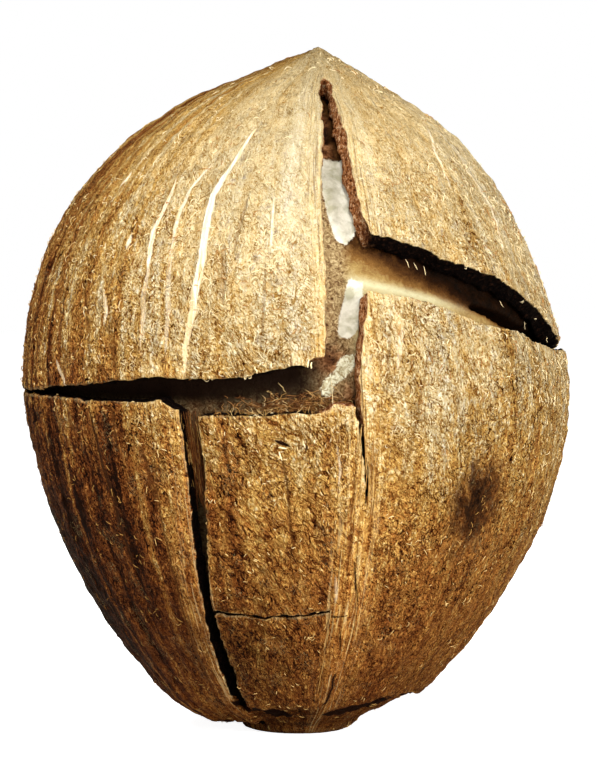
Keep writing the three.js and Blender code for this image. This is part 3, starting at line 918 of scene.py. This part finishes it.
KERNEL_SKIN = [
    (0.34, (0.045, 0.018, 0.006)), (0.43, (0.18, 0.108, 0.046)),
    (0.56, (0.33, 0.245, 0.12)), (0.7, (0.55, 0.45, 0.26)),
]
RUSTY_SKIN = [
    (0.38, (0.012, 0.004, 0.002)), (0.5, (0.1, 0.036, 0.013)),
    (0.62, (0.3, 0.135, 0.055)), (0.74, (0.5, 0.32, 0.17)),
]
# Tan skin for the right crack, running down to near black as painted shadow.
TAN_SKIN_INTO_SHADOW = [
    (0.1, (0.002, 0.001, 0.0004)), (0.32, (0.012, 0.004, 0.001)), (0.5, (0.06, 0.024, 0.006)),
    (0.68, (0.16, 0.078, 0.02)), (0.86, (0.31, 0.215, 0.078)), (1.0, (0.41, 0.34, 0.17)),
]
WHITE_MEAT = [(0.36, (0.42, 0.41, 0.3)), (0.58, (0.72, 0.71, 0.62))]
MOULDY_MEAT = [(0.38, (0.3, 0.24, 0.13)), (0.5, (0.55, 0.53, 0.37)), (0.62, (0.76, 0.76, 0.62))]
PIT_BLACK = (0.008, 0.003, 0.002)
CURL_BROWN = (0.12, 0.05, 0.025)
# Near black painted over the kernel as the shadow in the cracks.
CRACK_SHADOW_BLACK = (0.007, 0.003, 0.0015)
LIP_GREEN = (0.56, 0.56, 0.38)


def kernel_material():
    """Specked brown skin, tan and smooth in the right crack, bare meat in places, painted shadow."""
    material, tree = new_material("coconut_meat_and_skin")
    room = made(tree, "TexCoord", output="Object")
    specks = pattern(room, (0.9, 0.9, 0.9), 3, 0.65, 1.4)
    clouds = pattern(room, (3.2, 3.2, 3.2), 3, 0.55, 0.3)
    knobs = pattern(room, (1.6, 1.6, 1.6), 2, 0.5, 0.4)
    curls = hairlines(room, (1.5, 1.5, 2.0), 3.0, 0.03, 0.46)

    # Painted shadow: darker towards the crack's roof and its far right.
    cream_to_shadow = field(tree, "cream_to_shadow") * 0.9 + clouds * 0.35 + specks * 0.35 - 0.175
    rust = (specks * 0.5 + knobs * 0.5).ramp(RUSTY_SKIN)
    skin = specks.ramp(KERNEL_SKIN).under(rust, field(tree, "plug"))
    skin = skin.under(PIT_BLACK, field(tree, "pits")).under(CURL_BROWN, curls * 0.5)
    skin = skin.under(cream_to_shadow.ramp(TAN_SKIN_INTO_SHADOW), field(tree, "smooth"))
    # The kernel is blackened in the cracks by painted shadow.
    skin = skin.under(CRACK_SHADOW_BLACK, field(tree, "crack_shadow")).under(LIP_GREEN, field(tree, "lip_line"))
    meat = (field(tree, "bare") + specks * 0.9).between(0.3, 0.65)
    colour = skin.under(clouds.ramp(WHITE_MEAT), meat)
    mould = (field(tree, "green") + specks * 1.2).between(0.45, 0.85)
    colour = colour.under(specks.ramp(MOULDY_MEAT), mould)
    height = specks * 0.6 + clouds * 0.5 + knobs * 0.7
    rough_surface(colour, specks * 0.3 + 0.45, 0.03, height, 0.8, KERNEL_RELIEF)
    return material


def line_through(turn, points):
    return np.interp(turn, [point[0] for point in points], [point[1] for point in points])


kernel = even_copy("kernel", "kernel_meat", KERNEL_MESH)
places = Places(kernel.data, 0.0)
shown = np.zeros(len(places.turn), bool)
for middle, aside, low, high in SHOWN_KERNEL:
    beside = np.abs(places.turn - middle) < aside
    shown |= beside & (places.height > low) & (places.height < high)
thin_out(kernel, ~(shown & (places.depth < KERNEL_DEPTH + 1.5)), HIDDEN_KERNEL_SHARE)
places = Places(kernel.data, 0.0)
turn, height = places.turn, places.height
bare = inside_patch(places, BARE_MEAT)
green = inside_patch(places, GREEN_MEAT)
pits = patches(turn, height, DARK_PITS)

# Where the skin is rusty: at the top of the slit, and round the left crack.
plug = smoothstep(115.6, 117, height) * np.exp(-((turn - 12) / 20) ** 2)
plug += patches(turn, height, RUSTY_PATCHES) + patches(turn, height, RUSTY_CORNER) * (turn > 10)
plug = np.minimum(plug, 1)
# Painted shadow: the kernel is blackened where the shell shades it, in the left crack
# and down the gap beside the chips.
crack_shadow = smoothstep(9.5, 3, turn) * smoothstep(60, 66, height) * smoothstep(82, 78, height)
crack_shadow *= 0.8 + 0.2 * smoothstep(6, 0, turn) * smoothstep(67.5, 70.5, height)
crack_shadow *= 1 - patches(turn, height, BROWN_STRETCH)
crack_shadow *= (1 - 0.5 * smoothstep(70.5, 67.5, height)) * (bare < 0)
crack_shadow = np.maximum(crack_shadow, 0.85 * smoothstep(-10, -15, turn) * smoothstep(58, 50, height))
# The smooth stretch in the right crack goes from creamy white at the floor to brown and black:
# painted shadow, deeper towards the roof and further right, where the shell overhangs it.
floor_line, roof_line = line_through(turn, CRACK_FLOOR), line_through(turn, CRACK_ROOF)
above = np.clip((height - floor_line) / np.maximum(roof_line - floor_line, 0.5), 0, 1)
shade = smoothstep(15, 72, turn) * (0.42 + 0.58 * smoothstep(0, 0.35, above))
lip_line = np.exp(-(((height - floor_line - 0.6) / 0.7) ** 2)) * smoothstep(13, 17, turn)

places.keep("bare", bare)
places.keep("green", green)
places.keep("plug", np.maximum(plug, patches(turn, height, RUSTY_GAP)))
places.keep("pits", np.clip(2 * pits, 0, 1))
places.keep("smooth", smoothstep(12, 16, turn) * smoothstep(58, 62, height))
places.keep("cream_to_shadow", np.clip(0.97 - 0.66 * above - shade, 0, 1))
places.keep("lip_line", 0.7 * lip_line * smoothstep(50, 30, turn))
places.keep("crack_shadow", crack_shadow)
relief = 0.16 * grain_noise(places.at / 1.2, 31) + 0.3 * grain_noise(places.at / 3.0, 32)
relief += plug * (1.1 * grain_noise(places.at / 2.4, 33) - 2.8 * pits)
relief -= 0.45 * smoothstep(-0.3, 0.3, np.maximum(bare, green))
relief += 0.3 * smoothstep(0, 0.8, bare) * grain_noise(places.at / 1.7, 34)
outer = smoothstep(KERNEL_DEPTH + 1.6, KERNEL_DEPTH + 0.8, places.depth)
shift = places.outwards * (relief * outer - 0.1)[:, None]
shift[:, 0] += lean(places)
places.move(shift)
kernel.data.materials.append(kernel_material())
kernel.data.shade_smooth()
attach(kernel, "root")
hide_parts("kernel")


# ---- The fuzz on the shell ------------------------------------------------------
# Short ends of husk fibre that the scraper left: curled and pressed to the bark, some
# pale and some dark. Each is a thin tapered tube, rooted in the bark at both ends.
FUZZ_THICKNESS = 0.075
FIBRE_STEPS = 4
ROOT_HEIGHT = 0.02
OFF_SURFACE = 0.9
TUFT_SIZES = (1, 1, 1, 2, 4)


def fibre_material(name, shades):
    """Dry husk fibre, whose shade follows the bark that it lies on."""
    material, tree = new_material(name)
    uneven = pattern(made(tree, "TexCoord", output="Object"), (1.5, 1.5, 1.5), 1)
    colour = (field(tree, "shade") + uneven * 0.3).ramp(shades)
    look = {"Base Color": colour, "Roughness": 0.7, "Specular IOR Level": 0.1}
    add_node(tree, "OutputMaterial", {"Surface": made(tree, "BsdfPrincipled", look)})
    return material


def strand_piece(name, strands, thickness, material):
    """Many fibres as one mesh: each is a shade and the points of a thin tapered tube."""
    curve = bpy.data.curves.new(name, "CURVE")
    curve.dimensions = "3D"
    curve.bevel_depth = thickness * MM
    curve.bevel_resolution = 0
    low = Vector(cad_low) / MM + Vector((1, 1, 1)) * (thickness + BOX_MARGIN)
    high = Vector(cad_high) / MM - Vector((1, 1, 1)) * (thickness + BOX_MARGIN)
    for _, points in strands:
        spline = curve.splines.new("POLY")
        spline.points.add(len(points) - 1)
        for i, point in enumerate(points):
            kept = [min(max(point[a], low[a]), high[a]) * MM for a in range(3)]
            spline.points[i].co = (*kept, 1)
            spline.points[i].radius = 0.35 + 0.65 * math.sin(math.pi * (i + 0.5) / len(points))
    holder = placed(name + "_line", curve)
    bpy.context.view_layer.update()
    seen = holder.evaluated_get(bpy.context.evaluated_depsgraph_get())
    piece = placed(name, bpy.data.meshes.new_from_object(seen))
    bpy.data.objects.remove(holder)
    piece.data.name = name
    shades = np.concatenate([[shade] * (4 * len(points)) for shade, points in strands])
    piece.data.attributes.new("shade", "FLOAT", "POINT").data.foreach_set("value", shades)
    shape = bmesh.new()
    shape.from_mesh(piece.data)
    bmesh.ops.holes_fill(shape, edges=[e for e in shape.edges if e.is_boundary], sides=4)
    shape.to_mesh(piece.data)
    shape.free()
    piece.data.materials.clear()
    piece.data.materials.append(material)
    piece.data.shade_smooth()
    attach(piece, "root")


def surface_tree(piece):
    shape = bmesh.new()
    shape.from_mesh(piece.data)
    tree = BVHTree.FromBMesh(shape)
    shape.free()
    return tree


def lying_fibre(tree, start, normal, length, heading, curl, lift, wild):
    """A fibre that follows a surface, or None where it would run off an edge."""
    up = Vector((0, 0, 1)) - normal * normal.z
    up = up.normalized() if up.length > 0.05 else Vector((1, 0, 0))
    side = normal.cross(up)
    point = start
    points = []
    for i in range(FIBRE_STEPS + 1):
        found, facing, _, apart = tree.find_nearest(point * MM)
        if found is None or apart > OFF_SURFACE * MM:
            return None
        height = ROOT_HEIGHT + lift * math.sin(math.pi * i / FIBRE_STEPS)
        points.append(found / MM + facing * height)
        onwards = up * math.cos(heading) + side * math.sin(heading)
        point = found / MM + onwards * (length / FIBRE_STEPS)
        heading += curl + wild.gauss(0, 0.25)
    return points


def fuzz_on(piece, count, wild, longest, lift):
    """Fibres strewn over the bark of a piece, in tufts, clear of its broken faces."""
    mesh = piece.data
    tree = surface_tree(piece)
    kept = {}
    for name in ("below", "seam", "tone", "burn"):
        kept[name] = np.empty(len(mesh.vertices))
        mesh.attributes[name].data.foreach_get("value", kept[name])
    bark = np.flatnonzero((kept["below"] < 0.02) & (kept["seam"] < 0.6))
    fibres = []
    while len(fibres) < count:
        vertex = mesh.vertices[int(bark[wild.randrange(len(bark))])]
        shade = kept["tone"][vertex.index] - 0.5 * kept["burn"][vertex.index]
        height = vertex.co.z / MM
        wanted = 0.15 + 0.85 * smoothstep(40, 90, height)
        if wild.random() > wanted * (1 - 0.8 * smoothstep(100, 120, height)):
            continue
        for _ in range(wild.choice(TUFT_SIZES)):
            aside = Vector((wild.gauss(0, 1), wild.gauss(0, 1), wild.gauss(0, 1)))
            fibre = lying_fibre(
                tree,
                vertex.co / MM + aside,
                vertex.normal,
                min(longest, 0.35 + math.exp(wild.gauss(-0.4, 0.6))),
                wild.gauss(0.3, 0.9),
                wild.gauss(0, 0.13 * longest),
                lift * wild.random(),
                wild,
            )
            if fibre:
                fibres.append((shade, fibre))
    return fibres


# On each piece of shell: how many fibres, the longest in mm, and how far they lift.
PALE_FUZZ = [
    (upper, 1500, 3.2, 0.45), (lower, 1100, 1.6, 0.25),
    (chip_high, 110, 0.9, 0.2), (chip_low, 40, 1.0, 0.2),
]
BROWN_FUZZ = [
    (upper, 1100, 2.6, 0.2), (lower, 900, 1.6, 0.2),
    (chip_high, 120, 2.6, 0.2), (chip_low, 50, 2.2, 0.2),
]
PALE_SHADES = [
    (0.1, (0.14, 0.05, 0.01)), (0.5, (0.46, 0.26, 0.07)),
    (0.8, (0.76, 0.57, 0.26)), (1.0, (0.88, 0.76, 0.48)),
]
BROWN_SHADES = [(0.2, (0.04, 0.012, 0.003)), (0.6, (0.16, 0.055, 0.012)), (1.0, (0.4, 0.2, 0.06))]
pale_fibre = fibre_material("pale_husk_fibre", PALE_SHADES)
brown_fibre = fibre_material("brown_husk_fibre", BROWN_SHADES)
coats = [("pale_fuzz", PALE_FUZZ, pale_fibre), ("brown_fuzz", BROWN_FUZZ, brown_fibre)]
wild = random.Random(11)
for name, rows, fibre in coats:
    fuzz = []
    for piece, count, longest, lift in rows:
        fuzz += fuzz_on(piece, count, wild, longest, lift)
    strand_piece(name, fuzz, FUZZ_THICKNESS, fibre)


# ---- The fibres in the cracks ---------------------------------------------------
# Husk fibres that bridge the cracks or cling to the torn edges: stiff ones in the gap beside
# the chips, a matted tangle on the kernel in the left crack, and a few hairs and splinters.
wild = random.Random(29)
# Where a hair hangs in the right crack: turn and height. Where a splinter starts: turn,
# height, and how far it goes on in turn and height at each step.
HAIRS = [(27, 97.3), (29, 96.6), (31.5, 95.9), (52, 89.0), (61, 84.6), (75, 81.2)]
SPLINTERS = [
    (3, 77.9, -0.08, -0.4), (3.5, 77.4, -0.05, -0.3), (-7.5, 76.6, 0.05, -0.36),
    (-3.9, 61.2, 0.4, -0.05), (-3.8, 60.4, 0.05, -0.4), (1, 62.4, 0.1, -0.3),
]


def hanging_fibre(turn, height, depth, steps, drift, wild):
    """A fibre that starts at a place on the nut and goes on by steps.

    The drift is how far each step goes in turn, height and depth, and how far it strays.
    """
    points = []
    for _ in range(steps):
        points.append(place_on(turn, height, depth))
        turn += drift[0] + wild.gauss(0, drift[3])
        height += drift[1] * wild.uniform(0.7, 1.3)
        depth += drift[2] + wild.gauss(0, 0.12)
        depth = max(depth, 0.15)
    return points


gap = []
brown_gap = []
for i in range(170):
    start = wild.uniform(-25.5, -20.2)
    top = wild.uniform(59, 68)
    drift = (wild.gauss(0, 0.12), -wild.uniform(1, 2), 0.06, 0.07)
    depth = wild.uniform(1.6, 4.2)
    fibre = hanging_fibre(start, top, depth, 8, drift, wild)
    if i % 5 == 0:
        gap.append((wild.uniform(0.1, 0.5), fibre))
    else:
        brown_gap.append((wild.uniform(0, 0.5), fibre))
strand_piece("gap_fibres", gap, 0.06, pale_fibre)
strand_piece("brown_gap_fibres", brown_gap, 0.075, brown_fibre)


def matted(count, turns, heights, turn_drift, rise, depths, steps, shades):
    """Curled fibres that lie on the kernel, most of them near one turn and one height."""
    mat = []
    for _ in range(count):
        turn = wild.triangular(*turns)
        height = wild.triangular(*heights)
        drift = (wild.gauss(0, turn_drift), wild.gauss(rise, 0.2), wild.gauss(0, 0.08), 0.3)
        fibre = hanging_fibre(turn, height, wild.uniform(*depths), steps, drift, wild)
        mat.append((wild.uniform(*shades), fibre))
    return mat


tangle = matted(
    count=420, turns=(-17, 12, 6), heights=(66, 71.5, 66.8), turn_drift=0.35, rise=0,
    depths=(3.6, 4.7), steps=6, shades=(0.1, 0.9),
)
strand_piece("kernel_tangle", tangle, 0.06, brown_fibre)
tangle = matted(
    count=90, turns=(-12, 12, 7), heights=(66.5, 72.5, 67.2), turn_drift=0.3, rise=0.05,
    depths=(3.2, 4.4), steps=5, shades=(0.1, 0.7),
)
tangle.append((0.8, hanging_fibre(7.3, 74, 2.2, 8, (0, -1.1, 0.05, 0.05), wild)))
strand_piece("pale_tangle", tangle, 0.05, pale_fibre)

edge = []
for _ in range(70):
    turn = wild.triangular(-19, 8, 0)
    drift = (wild.gauss(0, 0.2), wild.uniform(0.02, 0.4), wild.gauss(0.05, 0.15), 0.16)
    shade = wild.uniform(0, 0.6)
    edge.append((shade, hanging_fibre(turn, 66.9, wild.uniform(0.4, 3.4), 6, drift, wild)))
strand_piece("chip_edge_fibres", edge, 0.05, pale_fibre)

hairs = []
for turn, height in HAIRS:
    drift = (wild.uniform(-0.1, 0.35), -wild.uniform(0.25, 0.5), 0.02, 0.12)
    hairs.append((0.8, hanging_fibre(turn, height, 1.2, 5, drift, wild)))
strand_piece("crack_hairs", hairs, 0.06, pale_fibre)

splinters = []
for turn, height, aside, down in SPLINTERS:
    splinter = hanging_fibre(turn, height, 0.1, 5, (aside, down, -0.08, 0.1), wild)
    splinters.append((0.8, splinter))
strand_piece("splinters", splinters, 0.18, pale_fibre)


# ---- The seam -------------------------------------------------------------------
# A low ridge of bark where two sides of the nut meet. Its fibres bridge the crack on the
# right of the chips and hide most of it. The strip is bark, still grown to both sides.
SEAM_THICKNESS = 0.5
SEAM_FRAY = 0.7
# The strip's sides: the height, the turn of the left one and of the right one.
SEAM_SIDES = [
    (7, 9.8, 12.6), (8.6, 9.4, 14.2), (13, 9.0, 14.6), (20, 8.8, 14.0), (29, 8.6, 13.2),
    (38, 8.0, 13.6), (45, 8.6, 14.6), (49, 10.8, 15.2), (51.5, 12.8, 14.8),
]


def seam_sides(height):
    """The turns of the strip's left and right side at a height."""
    heights, *sides = zip(*SEAM_SIDES)
    return [float(np.interp(height, heights, side)) for side in sides]


strip = bmesh.new()
bmesh.ops.create_grid(strip, x_segments=30, y_segments=190, size=1)
lowest, highest = SEAM_SIDES[0][0], SEAM_SIDES[-1][0]
for vertex in strip.verts:
    u, v = vertex.co.x, vertex.co.y
    height = lowest + (highest - lowest) * (v + 1) / 2
    left, right = seam_sides(height)
    left += SEAM_FRAY * noise.noise(Vector((height / 2.2, 3, 0)))
    right += SEAM_FRAY * noise.noise(Vector((height / 2.2, 9, 0)))
    turn = (left + right) / 2 + u * (right - left) / 2
    end = min(1.0, 4 * (1 - abs(v)))
    vertex.co = place_on(turn, height, 0.8 - 0.85 * end * (1 - u**4)) * MM
bmesh.ops.recalc_face_normals(strip, faces=strip.faces)
bmesh.ops.solidify(strip, geom=strip.faces, thickness=SEAM_THICKNESS * MM)
bmesh.ops.recalc_face_normals(strip, faces=strip.faces)
strip_mesh = bpy.data.meshes.new("seam_ridge")
strip.to_mesh(strip_mesh)
strip.free()
ridge = placed("seam_ridge", strip_mesh)
places = Places(strip_mesh, 1.0)
always = np.ones(len(places.turn))
relief = 0.2 * grain_noise(places.fibre_place(0.9, 14), 41) + 0.1 * grain_noise(places.at / 1.4, 42)
paint_bark(places, always, 8.0 * always, always)
places.move(places.outwards * (relief - 0.12)[:, None])
strip_mesh.materials.append(scraped_shell)
strip_mesh.shade_smooth()
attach(ridge, "root")

wild = random.Random(37)
seam = []
for _ in range(70):
    height = wild.uniform(12, 66)
    left, right = seam_sides(height)
    turn = wild.uniform(left - 1, right + 1.5)
    down = -wild.uniform(0.5, 1.6)
    drift = (wild.gauss(0, 0.08), down, 0.0, 0.06)
    points = hanging_fibre(turn, height, 0.05, 7, drift, wild)
    seam.append((wild.uniform(0.2, 0.6), points))
strand_piece("seam_fibres", seam, 0.07, pale_fibre)


low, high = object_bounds()
size = {"cad": [list(cad_low), list(cad_high)], "visual": [list(low), list(high)]}
